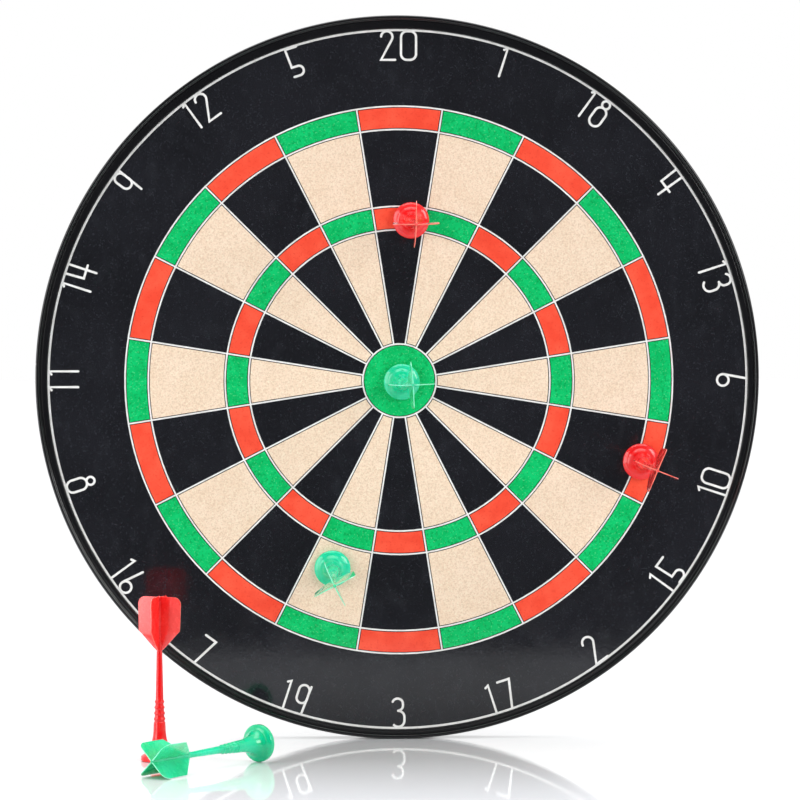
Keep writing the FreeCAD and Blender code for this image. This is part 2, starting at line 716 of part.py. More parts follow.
def lying_placement(across, out, heading):
    """A dart that lies on its head's edge and on two of its vanes, tail towards the viewer."""
    roll = math.radians(LYING_ROLL)
    reach = size("vane_reach") * math.sin(roll) + size("vane_thickness / 2") * math.cos(roll)
    foot = size("head_edge - head_round")
    span = size("dart_length - nub - vane_corner") - foot
    sink = math.asin((size("head_radius") - reach) / span)
    up = size("head_radius") * math.cos(sink) + foot * math.sin(sink)
    low = size("floor_gap - board_radius") + up
    laid = FreeCAD.Rotation(FreeCAD.Vector(0, 0, 1), heading)
    laid = laid.multiply(FreeCAD.Rotation(FreeCAD.Vector(0, 1, 0), -90 - math.degrees(sink)))
    laid = laid.multiply(FreeCAD.Rotation(FreeCAD.Vector(0, 0, 1), LYING_ROLL))
    return FreeCAD.Placement(FreeCAD.Vector(across, -out, low), laid)


# ---- the whole ----------------------------------------------------------------------------------

edge_trim()
core_board()
back_cover()
hanger_plate()
hanger_screws()
disc(new_body("steel_sheet"), "steel_disc", "disc_radius", "core_top", "steel_top")
disc(new_body("printed_sheet"), "printed_disc", "disc_radius", "steel_top", "sheet_top")

double = ("double_inner", "double_outer")
treble = ("treble_inner", "treble_outer")
outer_single = ("treble_outer", "double_inner")
inner_single = ("bull_outer", "treble_inner")
inner_bull = (f"bull_inner - {INSET}",)
outer_bull = (f"bull_inner + {INSET}", f"bull_outer - {INSET}")
printed_fields("red_fields", (treble, double), 0, inner_bull)
printed_fields("green_fields", (treble, double), 1, outer_bull)
printed_fields("cream_fields", (inner_single, outer_single), 1, ())
white_lines()
number_ring()

# Fields and lines are one print, laid a little off the board's middle.
off_centre = FreeCAD.Vector(size("print_right"), 0, -size("print_low"))
for part in parts:
    printed = part.Label.endswith("_fields") or part.Label == "white_lines"
    place = off_centre if printed else FreeCAD.Vector()
    part.Placement = FreeCAD.Placement(place, OUT_OF_THE_WALL)

for name, across, up, turn in CLINGING_DARTS:
    make_dart(name, clinging_placement(across, up, turn))
make_dart(STANDING_DART[0], standing_placement(*STANDING_DART[1:]))
make_dart(LYING_DART[0], lying_placement(*LYING_DART[1:]))

doc.recompute()
for thing in doc.Objects:
    if "Invalid" in thing.State or "Error" in thing.State:
        raise RuntimeError(f"{thing.Label} failed: {thing.State}")
for part in parts:
    if part.Shape.isNull() or not part.Shape.isValid():
        raise RuntimeError(f"{part.Label} has no valid shape")

os.makedirs("parts", exist_ok=True)
for part in parts:
    part.Shape.exportStep(os.path.join("parts", part.Label + ".step"))
    box = part.Shape.BoundBox
    print(f"{part.Label}: {len(part.Shape.Solids)} solids, {part.Shape.Volume / 1000:.2f} cm3,"
          f" y {box.YMin:.1f} to {box.YMax:.1f}, z {box.ZMin:.1f} to {box.ZMax:.1f}")
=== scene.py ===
# %% [markdown]
# # A magnetic dartboard and its six darts
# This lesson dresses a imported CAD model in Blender. The CAD model says where every piece is and how
# large it is. Here the pieces get the look of the real board: a printed, laminated face in a black
# plastic edge, and darts moulded from clear-tinted plastic. All sizes in the text are millimetres,
# and Blender works in metres, so one factor turns the first into the second.

import bmesh
import bpy
import math
from mathutils import Matrix, Vector


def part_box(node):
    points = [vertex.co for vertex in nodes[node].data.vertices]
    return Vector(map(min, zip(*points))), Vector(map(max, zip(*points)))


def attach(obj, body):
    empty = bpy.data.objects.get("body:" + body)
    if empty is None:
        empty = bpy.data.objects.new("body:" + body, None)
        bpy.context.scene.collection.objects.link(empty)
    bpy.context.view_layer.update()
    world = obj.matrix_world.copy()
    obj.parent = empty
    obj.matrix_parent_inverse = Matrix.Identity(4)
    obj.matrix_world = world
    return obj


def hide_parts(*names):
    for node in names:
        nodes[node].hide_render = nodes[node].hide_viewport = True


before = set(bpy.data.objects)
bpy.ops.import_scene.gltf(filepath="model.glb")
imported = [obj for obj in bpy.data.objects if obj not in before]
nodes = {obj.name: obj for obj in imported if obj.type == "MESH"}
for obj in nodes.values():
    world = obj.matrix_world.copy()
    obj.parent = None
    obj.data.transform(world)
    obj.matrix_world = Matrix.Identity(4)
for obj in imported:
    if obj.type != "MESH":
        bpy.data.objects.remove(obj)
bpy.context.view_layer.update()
MM = 0.001

# %% [markdown]
# ## Camera
# A long lens from a little over two metres keeps the board round. The camera stands slightly left of
# the board's middle and a little above it, so the darts that cling to the face are seen almost end on.

# %% Camera
CAMERA_AT = Vector((-84, -2315, 90)) * MM
AIMED_AT = Vector((1.0, -13, -12)) * MM
LENS = 187.7

camera = bpy.data.objects.new("camera", bpy.data.cameras.new("camera"))
camera.data.lens = LENS
camera.data.sensor_width = 36
camera.data.clip_end = 50
camera.location = CAMERA_AT
camera.rotation_euler = (AIMED_AT - CAMERA_AT).to_track_quat("-Z", "Y").to_euler()
bpy.context.scene.collection.objects.link(camera)
bpy.context.scene.camera = camera
bpy.context.scene.view_settings.view_transform = "Standard"
print(f"camera {(AIMED_AT - CAMERA_AT).length:.3f} m from its aim, lens {LENS} mm")

# %% [markdown]
# ## Mixing a finish
# Every finish here starts from Blender's Principled shader. What changes over the surface, such as
# colour, gloss and relief, comes from noise that is laid out in the model's own coordinates, so the
# size of a grain can be given in millimetres. What is the same all over is set on the shader itself.
# A small class keeps the wiring short.

# %% A helper for finishes
def srgb(red, green, blue):
    """A colour as a paint maker writes it, 0 to 255, as the linear light that Blender works with."""
    def linear(value):
        share = value / 255
        return share / 12.92 if share <= 0.04045 else ((share + 0.055) / 1.055) ** 2.4
    return (linear(red), linear(green), linear(blue), 1.0)


class Finish:
    """A material in the making: its shader, and short ways to add textures to it."""

    def __init__(self, name, **sockets):
        self.material = bpy.data.materials.new(name)
        self.material.use_nodes = True
        self.tree = self.material.node_tree
        self.shader = self.tree.nodes["Principled BSDF"]
        self.where = self.tree.nodes.new("ShaderNodeTexCoord").outputs["Object"]
        for socket, value in sockets.items():
            self.shader.inputs[socket.replace("_", " ")].default_value = value

    def add(self, kind, inputs, **settings):
        """A new node. An input is either a number or colour, or the output that feeds it."""
        node = self.tree.nodes.new("ShaderNode" + kind)
        for name, value in settings.items():
            setattr(node, name, value)
        for name, value in inputs.items():
            if isinstance(value, bpy.types.NodeSocket):
                self.tree.links.new(value, node.inputs[name])
            else:
                node.inputs[name].default_value = value
        return node

    def stretched(self, x, y, z):
        """The surface's coordinates with each axis stretched, for grain that runs one way."""
        inputs = {"Vector": self.where, "Scale": (1 / x, 1 / y, 1 / z)}
        return self.add("Mapping", inputs).outputs[0]

    def grain(self, size, detail=2.0, where=None):
        """Noise from 0 to 1 whose patches are about that size in mm."""
        inputs = {"Vector": where or self.where, "Scale": 1 / (size * MM), "Detail": detail}
        return self.add("TexNoise", inputs).outputs[0]

    def cells(self, size, output="Distance"):
        """Grains that fit together like crumbs, about that size in mm."""
        inputs = {"Vector": self.where, "Scale": 1 / (size * MM)}
        return self.add("TexVoronoi", inputs).outputs[output]

    def span(self, value, low, high, first=0.35, last=0.65):
        """value, which runs from first to last, turned into low to high."""
        inputs = {"Value": value, "From Min": first, "From Max": last, "To Min": low, "To Max": high}
        return self.add("MapRange", inputs).outputs[0]

    def mix(self, share, first, second):
        """first where share is 0 and second where it is 1."""
        node = self.add("Mix", {}, data_type="RGBA")
        for socket, value in ((0, share), (6, first), (7, second)):
            if isinstance(value, bpy.types.NodeSocket):
                self.tree.links.new(value, node.inputs[socket])
            else:
                node.inputs[socket].default_value = value
        return node.outputs[2]

    def maths(self, operation, first, second):
        """Two values added, multiplied and so on."""
        node = self.add("Math", {}, operation=operation)
        for socket, value in enumerate((first, second)):
            if isinstance(value, bpy.types.NodeSocket):
                self.tree.links.new(value, node.inputs[socket])
            else:
                node.inputs[socket].default_value = value
        return node.outputs[0]

    def use(self, colour=None, roughness=None, relief=None, depth=0.01):
        """Feeds the shader. depth is the height of the relief in mm."""
        if colour is not None:
            self.tree.links.new(colour, self.shader.inputs["Base Color"])
        if roughness is not None:
            self.tree.links.new(roughness, self.shader.inputs["Roughness"])
        if relief is not None:
            raised = self.add("Bump", {"Height": relief, "Distance": depth * MM, "Strength": 1.0})
            self.tree.links.new(raised.outputs[0], self.shader.inputs["Normal"])
        return self.material

# %% [markdown]
# ## The laminated face
# The face is a black printed sheet under a clear, glossy film. Film that is pressed on fibreboard is
# never quite flat: it has the faint ripple that painters call orange peel, which makes reflections
# ragged. The inks lie under the same film, so they share its ripple and its gloss and differ only in
# colour: the cream has the speckle of cork, the green looks a little fibrous, and the red is even.

# %% Finishes of the printed face
PEEL_SIZE = 2.6
PEEL_DEPTH = 0.012
FILM_IOR = 1.6


def film(finish, low=0.07, high=0.13):
    """The film's gloss and its orange peel, and dust so fine that it only dulls the gloss."""
    dull = finish.span(finish.grain(14, 4.0), low, high)
    peel = finish.grain(PEEL_SIZE, 1.0)
    return {"roughness": dull, "relief": peel, "depth": PEEL_DEPTH}


def black_laminate():
    finish = Finish("black_laminate", IOR=FILM_IOR)
    soot = finish.mix(finish.span(finish.grain(45, 4.0), 0, 1), srgb(20, 21, 25), srgb(27, 28, 33))
    smear = finish.span(finish.grain(6, 5.0, finish.stretched(1.0, 1.0, 1.8)), 0, 0.5, 0.52, 0.78)
    hazy = finish.mix(smear, soot, srgb(42, 44, 49))
    lint = finish.span(finish.grain(0.9, 2.0), 0, 0.5, 0.6, 0.74)
    return finish.use(finish.mix(lint, hazy, srgb(58, 60, 66)), **film(finish))


def cream_ink():
    finish = Finish("cream_ink", IOR=FILM_IOR)
    ground = finish.mix(finish.span(finish.grain(9, 3.0), 0, 1), srgb(243, 217, 190), srgb(248, 224, 199))
    pale = finish.span(finish.grain(1.2, 3.0), 0, 0.7, 0.48, 0.66)
    sand = finish.mix(pale, ground, srgb(252, 238, 214))
    dark = finish.span(finish.grain(0.8, 3.0), 0, 0.7, 0.46, 0.68)
    return finish.use(finish.mix(dark, sand, srgb(218, 188, 158)), **film(finish))


def green_ink():
    finish = Finish("green_ink", IOR=FILM_IOR)
    ground = finish.mix(finish.span(finish.grain(7, 3.0), 0, 1), srgb(2, 184, 96), srgb(12, 202, 112))
    fibre = finish.span(finish.grain(1.5, 3.0), 0, 0.75, 0.52, 0.66)
    thread = finish.mix(fibre, ground, srgb(0, 156, 76))
    fleck = finish.span(finish.grain(1.0, 1.0), 0, 0.6, 0.6, 0.72)
    return finish.use(finish.mix(fleck, thread, srgb(96, 214, 142)), **film(finish))


def red_ink():
    finish = Finish("red_ink", IOR=FILM_IOR)
    ground = finish.mix(finish.span(finish.grain(8, 3.0), 0, 1), srgb(246, 78, 54), srgb(255, 94, 68))
    fleck = finish.span(finish.grain(1.2, 2.0), 0, 0.5, 0.56, 0.7)
    return finish.use(finish.mix(fleck, ground, srgb(230, 56, 40)), **film(finish))


def white_ink():
    finish = Finish("white_ink", IOR=FILM_IOR)
    ground = finish.mix(finish.span(finish.grain(5, 3.0), 0, 1), srgb(228, 228, 224), srgb(246, 246, 243))
    thin = finish.span(finish.grain(0.8, 2.0), 0, 0.4, 0.62, 0.75)
    return finish.use(finish.mix(thin, ground, srgb(180, 180, 178)), **film(finish))


def dress(name, material):
    """Gives a CAD node that is already right in shape its finish."""
    node = nodes[name]
    if not node.material_slots:
        node.data.materials.append(material)
    for slot in node.material_slots:
        slot.material = material
    print(f"{name}: dressed in {material.name}")


white_print = white_ink()
dress("printed_sheet", black_laminate())
dress("cream_fields", cream_ink())
dress("green_fields", green_ink())
dress("red_fields", red_ink())
dress("white_lines", white_print)

# %% [markdown]
# ## Turning a piece on a lathe
# The edge trim, the barrels of the darts and the heads of the screws are all round, so one helper
# turns a half section about an axis. A matrix says where that axis lies. A point on the axis becomes
# one vertex, so there are no slivers at the pole. The piece is then handed to the frame: which body it
# rides on, which material slot it takes its finish from, and which CAD node it stands for.

# %% Lathe and hand-over
def round_angles(count):
    return [2 * math.pi * step / count for step in range(count)]


def lathe(section, angles, axes):
    """Turns the section, points of radius and height in mm, about the z axis of axes."""
    turned = bmesh.new()
    rings = []
    for radius, height in section:
        spread = angles if radius > 1e-6 else [0.0]
        ring = [Vector((radius * math.cos(a), radius * math.sin(a), height)) * MM for a in spread]
        rings.append([turned.verts.new(axes @ point) for point in ring])
    pairs = list(zip(rings, rings[1:]))
    if len(rings[0]) > 1 and len(rings[-1]) > 1:
        pairs.append((rings[-1], rings[0]))
    for low, high in pairs:
        for here in range(len(angles)):
            there = (here + 1) % len(angles)
            corners = [low[here % len(low)], low[there % len(low)],
                       high[there % len(high)], high[here % len(high)]]
            turned.faces.new(list(dict.fromkeys(corners)))
    return turned


def hand_over(name, shape, material, body, stands_for=(), crisp=35):
    """Makes an object of the mesh, smooth but for edges sharper than crisp degrees."""
    bmesh.ops.recalc_face_normals(shape, faces=shape.faces[:])
    mesh = bpy.data.meshes.new(name)
    shape.to_mesh(mesh)
    shape.free()
    mesh.shade_smooth()
    mesh.set_sharp_from_angle(angle=math.radians(crisp))
    mesh.materials.append(material)
    piece = bpy.data.objects.new(name, mesh)
    bpy.context.scene.collection.objects.link(piece)
    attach(piece, body)
    if stands_for:
        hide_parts(*stands_for)
    print(f"{name}: {len(mesh.polygons)} faces on {body}")
    return piece


def corner(x, y, radius, first, last, steps=6):
    """Points along an arc of a section, with angles in degrees."""
    turns = [math.radians(first + (last - first) * step / steps) for step in range(steps + 1)]
    return [(x + radius * math.cos(t), y + radius * math.sin(t)) for t in turns]


OUT_OF_THE_WALL = Matrix.Rotation(math.radians(90), 4, "X")

# %% [markdown]
# ## Edge trim
# The board's edge is a strip of soft black plastic, bent round and butted at one side. In section it
# has a bead along the rim, a groove, and a flat lip that covers the edge of the printed sheet. A real
# extrusion has no sharp edge, so each corner gets its own small arc: those arcs are what catches the
# light. The two ends of the strip meet at the left, where a hair's breadth stays open. The mouth of the
# lip follows the print, which sits about a millimetre low, so the lip is narrower at the bottom.

# %% Edge trim
BEAD = 1.1
SEAM_ANGLE = math.radians(177.7)
SEAM_STEPS = (-0.0022, -0.0011, -0.0006, 0.0006, 0.0011, 0.0022)
SEAM_DEPTH = 0.35
SEAM_HALF = 0.0007
SEAM_FROM_HEIGHT = 13.3
SEAM_FROM_RADIUS = 199.0
WALL_RADIUS = 199.9
LIP_HEIGHT = 12.9
LIP_MOUTH = 195.0
PRINT_SLIP = Vector((0.2, 0.0, -1.1)) * MM


def black_trim():
    """Extruded plastic: less gloss than the film, faint draw lines round it, and a scuffed bead."""
    finish = Finish("black_trim", IOR=1.48)
    place = finish.add("VectorMath", {0: finish.where, 1: (1.0, 0.0, 1.0)}, operation="MULTIPLY")
    radius = finish.add("VectorMath", {0: place.outputs[0]}, operation="LENGTH").outputs["Value"]
    drawn = finish.add("TexNoise", {"W": radius, "Scale": 2600.0, "Detail": 1.0}, noise_dimensions="1D")
    scuffs = finish.span(finish.grain(1.6, 4.0), 0, 0.6, 0.6, 0.78)
    crest = finish.span(radius, 0, 1, 0.1975, 0.1995)
    worn = finish.maths("MULTIPLY", scuffs, crest)
    tone = finish.mix(finish.span(finish.grain(30, 3.0), 0, 1), srgb(13, 13, 15), srgb(19, 19, 21))
    smooth = finish.span(finish.grain(6, 3.0), 0.13, 0.2)
    gloss = finish.maths("ADD", smooth, finish.maths("MULTIPLY", worn, 0.12))
    relief = finish.maths("ADD", drawn.outputs[0], finish.maths("MULTIPLY", finish.grain(1.1), 0.6))
    return finish.use(finish.mix(worn, tone, srgb(40, 40, 42)), gloss, relief, 0.003)


def trim_section():
    top = 15.0 - BEAD
    return (
        [(193.8, 0.2), (194.0, 0.0)]
        + corner(199.2, 0.8, 0.8, -90, 0)
        + [(200.0, 7.0)]
        + corner(200.0 - BEAD, top, BEAD, 0, 180, 14)
        + corner(197.4, 13.8, 0.2, 0, -90, 3)
        + corner(197.0, 13.8, 0.2, -90, -180, 3)
        + corner(196.5, 13.95, 0.25, 0, 90, 4)
        + corner(194.2, 13.9, 0.3, 90, 180, 4)
        + [(193.9, 13.0), (198.4, 13.0), (198.4, 2.0), (193.8, 2.0)]
    )


def edge_trim():
    angles = round_angles(288) + [SEAM_ANGLE + step for step in SEAM_STEPS]
    shape = lathe(trim_section(), sorted(angles), OUT_OF_THE_WALL)
    for vertex in shape.verts:
        turn = math.atan2(vertex.co.z, vertex.co.x)
        if abs(turn - SEAM_ANGLE) < SEAM_HALF:
            height = -vertex.co.y / MM
            reach = math.hypot(vertex.co.x, vertex.co.z) / MM
            if height > SEAM_FROM_HEIGHT or reach > WALL_RADIUS:
                vertex.co.y += SEAM_DEPTH * MM if height > SEAM_FROM_HEIGHT else 0
                vertex.co.x += SEAM_DEPTH * MM if reach > SEAM_FROM_RADIUS else 0
    for vertex in shape.verts:
        reach = math.hypot(vertex.co.x, vertex.co.z) / MM
        if -vertex.co.y / MM > LIP_HEIGHT and reach < LIP_MOUTH:
            vertex.co += PRINT_SLIP
    return hand_over("rim_strip", shape, black_trim(), "board", ["edge_trim"], 30)


edge_trim()

# %% [markdown]
# ## The number ring
# Numbers and outer ring are one white print, drawn as if with a round pen. Each digit is a few strokes:
# straight runs and round bows. A stroke becomes a flat ribbon with round ends, and the ribbons sit at
# heights a few thousandths of a millimetre apart, so that two of them never share one plane where they
# cross. The numbers on the lower half have their feet outwards, which makes them read upright. The sheet
# is never cut quite centrally, so numbers and ring slip a little, as far as the mouth of the trim does.

# %% Strokes of the digits
PEN = 1.27
NUMBER_HEIGHT = 17.0
TOP = NUMBER_HEIGHT - PEN


def bow(x, y, radius, first, last):
    """A round run of the pen from one angle to another, a point every 9 degrees or so."""
    return corner(x, y, radius, first, last, max(4, round(abs(last - first) / 9)))


def oval(x, low, high, radius):
    """A closed loop with round ends between two heights."""
    return bow(x, low + radius, radius, 180, 360) + bow(x, high - radius, radius, 0, 180)


def box_loop(width, height, radius):
    """A closed loop with four round corners."""
    return (
        bow(radius, radius, radius, 180, 270) + bow(width - radius, radius, radius, 270, 360)
        + bow(width - radius, height - radius, radius, 0, 90) + bow(radius, height - radius, radius, 90, 180)
    )


# For each digit: the space before it, its width, its open strokes and its closed loops.
DIGITS = {
    "0": (0.0, 8.3, [], [box_loop(8.3, TOP, 3.3)]),
    "1": (3.8, 1.7, [[(0, TOP - 1.0), (1.7, TOP), (1.7, 0)]], []),
    "2": (2.2, 7.8, [bow(3.15, TOP - 3.15, 3.15, 175, -28) + [(0, 0), (7.8, 0)]], []),
    "3": (2.2, 6.5, [
        bow(2.7, TOP - 3.0, 3.0, 155, 0) + bow(2.7, 11.9, 3.0, 0, -85),
        bow(3.1, 5.5, 3.4, 90, 0) + bow(3.1, 3.4, 3.4, 0, -135),
    ], []),
    "4": (2.2, 7.9, [[(0, TOP), (0.4, 5.7), (7.9, 5.8)], [(5.4, TOP), (5.3, 0)]], []),
    "5": (2.2, 6.6, [
        [(6.4, TOP), (0, TOP), (0.6, 5.3)] + bow(3.9, 2.65, 2.65, 90, -90) + [(0.5, 0)],
    ], []),
    "6": (2.2, 6.5, [[(2.3, TOP), (0.15, 4.0)]], [oval(3.3, 0, 6.4, 3.19)]),
    "7": (2.2, 6.8, [[(0, TOP), (6.8, TOP), (3.7, 0)]], []),
    "8": (2.2, 6.7, [], [oval(3.35, 0, TOP - 4.4, 3.35), oval(3.35, TOP - 4.4, TOP, 2.19)]),
    "9": (2.2, 6.2, [[(6.2, TOP), (5.3, 0)]], [oval(2.95, 5.5, TOP, 2.95)]),
}
print("digits drawn with", sum(len(d[2]) + len(d[3]) for d in DIGITS.values()), "strokes")

# %% Ribbons
SHEET_TOP = 13.0
INK = 0.1
RING = (192.4, 193.6)


def pen_pairs(points, closed):
    """The two edges of the pen's track at each of its points."""
    path = [Vector(p) for p in points]
    path = [p for i, p in enumerate(path) if (p - path[i - 1]).length > 0.02 or (i == 0 and not closed)]
    half = PEN / 2
    pairs = []
    for i, here in enumerate(path):
        before = path[i - 1] if closed or i > 0 else None
        after = path[(i + 1) % len(path)] if closed or i + 1 < len(path) else None
        into = (here - before).normalized() if before else (after - here).normalized()
        out = (after - here).normalized() if after else into
        along = (into + out).normalized()
        aside = Vector((-along.y, along.x)) * half / max(0.6, along.dot(out))
        pairs.append((here + aside, here - aside))
    if closed:
        return pairs
    ends = []
    for tip, behind in ((path[0], path[1]), (path[-1], path[-2])):
        way = (tip - behind).normalized()
        aside = Vector((-way.y, way.x))
        cap = []
        for angle in (25, 50, 75):
            turn = math.radians(angle)
            middle = tip + way * half * math.sin(turn)
            cap.append((middle + aside * half * math.cos(turn), middle - aside * half * math.cos(turn)))
        ends.append(cap)
    first = [(right, left) for left, right in reversed(ends[0])]
    return first + pairs + ends[1]


def ribbon(shape, pairs, closed, top, place):
    """A flat strip as thick as the ink between those pairs of points."""
    loops = []
    for left, right in pairs:
        corners = [place(left, top), place(right, top), place(right, top - INK), place(left, top - INK)]
        loops.append([shape.verts.new(point) for point in corners])
    following = loops[1:] + loops[:1] if closed else loops[1:]
    for here, there in zip(loops, following):
        for side in range(4):
            other = (side + 1) % 4
            shape.faces.new((here[side], here[other], there[other], there[side]))
    if not closed:
        shape.faces.new(loops[0])
        shape.faces.new(loops[-1])


# %% Number ring
ROUND_THE_BOARD = (20, 1, 18, 4, 13, 6, 10, 15, 2, 17, 3, 19, 7, 16, 8, 11, 14, 9, 12, 5)
FEET_OUTWARDS = (10, 15, 2, 17, 3, 19, 7, 16, 8)
DIGIT_GAP = 3.2
LAYER = 0.004


def number_places(number, sector):
    """For each digit of a number, the function that puts its points on the board."""
    rim = sum(RING) / 2
    turn = Matrix.Rotation(-2 * math.pi * sector / len(ROUND_THE_BOARD), 2)
    digits = [DIGITS[character] for character in str(number)]
    spaces = [DIGIT_GAP + digit[0] for digit in digits[1:]] + [0]
    across = -(sum(digit[1] for digit in digits) + sum(spaces)) / 2
    for digit, space in zip(digits, spaces):
        def place(point, height, across=across):
            if number in FEET_OUTWARDS:
                flat = Vector((-point.x - across, rim - PEN / 2 - point.y))
            else:
                flat = Vector((point.x + across, rim - PEN / 2 - TOP + point.y))
            flat = turn @ flat
            return Vector((flat.x, -height, flat.y)) * MM
        yield digit, place
        across += digit[1] + space


def number_ring():
    low, high = SHEET_TOP, SHEET_TOP + INK
    section = [(RING[0], low), (RING[1], low), (RING[1], high), (RING[0], high)]
    shape = lathe(section, round_angles(288), OUT_OF_THE_WALL)
    for sector, number in enumerate(ROUND_THE_BOARD):
        layer = high - LAYER
        for digit, place in number_places(number, sector):
            for strokes, closed in ((digit[2], False), (digit[3], True)):
                for points in strokes:
                    ribbon(shape, pen_pairs(points, closed), closed, layer, place)
                    layer -= LAYER
    bmesh.ops.translate(shape, verts=shape.verts[:], vec=PRINT_SLIP)
    return hand_over("white_numbers", shape, white_print, "board", ["number_ring"])


number_ring()

# %% [markdown]
# ## Inside and behind the board
# The core is medium fibreboard and the back a thin sheet of hardboard, whose rough side carries the
# print of the wire screen it was pressed on. Both keep their CAD shape and get a finish. The hanger
# plate and the steel sheet are zinc coated: zinc shows as flat crystals of slightly different grey.

# %% Finishes of core, back and steel
def fibreboard():
    finish = Finish("fibreboard", IOR=1.4)
    fibre = finish.grain(0.8, 4.0, finish.stretched(4.0, 1.0, 4.0))
    tone = finish.mix(finish.span(fibre, 0, 1), srgb(150, 116, 80), srgb(190, 154, 112))
    return finish.use(tone, finish.span(finish.grain(2.0, 3.0), 0.75, 0.9), fibre, 0.08)


def hardboard():
    finish = Finish("hardboard", IOR=1.4)
    screen = [
        finish.add("TexWave", {"Vector": finish.where, "Scale": 210.0, "Distortion": 0.6, "Detail": 1.0},
                   bands_direction=way).outputs["Fac"]
        for way in ("X", "Z")
    ]
    print_of_screen = finish.maths("MULTIPLY", *screen)
    fibre = finish.grain(1.4, 5.0)
    tone = finish.mix(finish.span(fibre, 0, 1), srgb(58, 40, 28), srgb(92, 66, 46))
    stain = finish.mix(finish.span(finish.grain(70, 4.0), 0, 0.5), tone, srgb(48, 34, 26))
    relief = finish.maths("ADD", print_of_screen, finish.maths("MULTIPLY", fibre, 0.8))
    return finish.use(stain, finish.span(finish.grain(5.0, 3.0), 0.62, 0.85), relief, 0.12)


def zinc(name, low, high):
    finish = Finish(name, Metallic=1.0)
    crystal = finish.cells(5.0, "Color")
    grey = finish.mix(finish.span(crystal, 0, 1, 0.0, 1.0), srgb(160, 164, 166), srgb(192, 195, 196))
    rub = finish.span(finish.grain(9.0, 5.0), 0, 0.5, 0.5, 0.8)
    tone = finish.mix(rub, grey, srgb(138, 140, 140))
    return finish.use(tone, finish.span(finish.grain(1.2, 4.0), low, high), finish.grain(0.6, 2.0), 0.004)


def ferrite():
    finish = Finish("ferrite", IOR=1.6)
    tone = finish.mix(finish.span(finish.grain(0.5, 3.0), 0, 1), srgb(44, 44, 47), srgb(74, 74, 78))
    return finish.use(tone, finish.span(finish.grain(1.5, 3.0), 0.4, 0.6), finish.grain(0.4, 2.0), 0.02)


bright_zinc = zinc("bright_zinc", 0.22, 0.4)
magnet_grey = ferrite()
dress("core_board", fibreboard())
dress("back_cover", hardboard())
dress("steel_sheet", zinc("dull_zinc", 0.35, 0.5))
dress("hanger_plate", bright_zinc)

# %% [markdown]
# ## Hanger screws
# Two low pan-head screws hold the hanger plate. The head is turned on the lathe, and the cross recess
# is cut with a tapered cross: that is how the punch makes it. A boolean modifier does the cutting and
# is applied at once, so the finished mesh holds the recess as real geometry.

# %% Screws
HEAD_THICK = 0.65
HEAD_RADIUS = 3.1
SHANK = 1.5
SCREW_LENGTH = 9.0
PLATE_FACE = 0.8
CROSS_ARM = 1.55
CROSS_WIDTH = 0.62
CROSS_DEPTH = 0.5
CUTTER_ABOVE = 0.4


def screw_section():
    """From the middle of the head to the point, with height counted into the board."""
    dome = [
        (HEAD_RADIUS * math.sin(math.radians(a)), PLATE_FACE - HEAD_THICK * math.cos(math.radians(a)) ** 0.7)
        for a in (0, 25, 45, 60, 72, 80)
    ]
    tip = PLATE_FACE + SCREW_LENGTH
    return dome + [(HEAD_RADIUS, PLATE_FACE - 0.12), (HEAD_RADIUS, PLATE_FACE), (SHANK, PLATE_FACE),
                   (SHANK, tip - 2.5), (0.25, tip - 0.1), (0.0, tip - 0.1)]


def cross_cutter(x, z, tilt):
    """Two crossed wedges, widest outside the head."""
    shape = bmesh.new()
    for quarter in (0, 90):
        turn = Matrix.Rotation(math.radians(tilt + quarter), 2)
        rings = []
        mouth = (-CUTTER_ABOVE, CROSS_ARM, CROSS_WIDTH / 2)
        floor = (CROSS_DEPTH, CROSS_ARM * 0.7, CROSS_WIDTH / 3)
        for depth, arm, half in (mouth, floor):
            height = PLATE_FACE - HEAD_THICK + depth
            flat = [turn @ Vector(p) for p in ((-arm, -half), (arm, -half), (arm, half), (-arm, half))]
            rings.append([shape.verts.new(Vector((x + p.x, -height, z + p.y)) * MM) for p in flat])
        for side in range(4):
            other = (side + 1) % 4
            shape.faces.new((rings[0][side], rings[0][other], rings[1][other], rings[1][side]))
        shape.faces.new(rings[0])
        shape.faces.new(rings[1])
    bmesh.ops.recalc_face_normals(shape, faces=shape.faces[:])
    mesh = bpy.data.meshes.new("cutter")
    shape.to_mesh(mesh)
    shape.free()
    cutter = bpy.data.objects.new("cutter", mesh)
    bpy.context.scene.collection.objects.link(cutter)
    return cutter


def hanger_screws():
    low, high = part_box("hanger_screws")
    height = (low.z + high.z) / 2 / MM
    left, right = low.x / MM + HEAD_RADIUS, high.x / MM - HEAD_RADIUS
    for side, tilt, name in ((left, 20, "left"), (right, 61, "right")):
        axes = Matrix.Translation(Vector((side, 0, height)) * MM) @ OUT_OF_THE_WALL
        stands_for = ["hanger_screws"] if name == "left" else []
        screw = hand_over(f"hanger_screw_{name}", lathe(screw_section(), round_angles(40), axes), bright_zinc,
                          "board", stands_for)
        cutter = cross_cutter(side, height, tilt)
        cut = screw.modifiers.new("recess", "BOOLEAN")
        cut.object = cutter
        cut.solver = "EXACT"
        cut.use_self = True
        bpy.context.view_layer.update()
        finished = bpy.data.meshes.new_from_object(screw.evaluated_get(bpy.context.evaluated_depsgraph_get()))
        screw.modifiers.clear()
        screw.data = finished
        bpy.data.objects.remove(cutter)
        print(screw.name, "has", len(finished.polygons), "faces after the recess is cut")


hanger_screws()

# %% [markdown]
# ## Where each dart lies
# The CAD model has each dart in place, so its axis is read from there: it runs from the middle of the
# magnet to the middle of the flight. The turn of the vanes is read from the points of the flight that
# reach furthest out. Four vanes repeat every quarter turn, so the four directions are averaged by
# quadrupling their angles.

# %% Axes of a dart
DARTS = ("red_dart_treble", "green_dart_bull", "red_dart_double", "green_dart_single",
         "red_dart_standing", "green_dart_lying")
MAGNET_DEPTH = 3.0


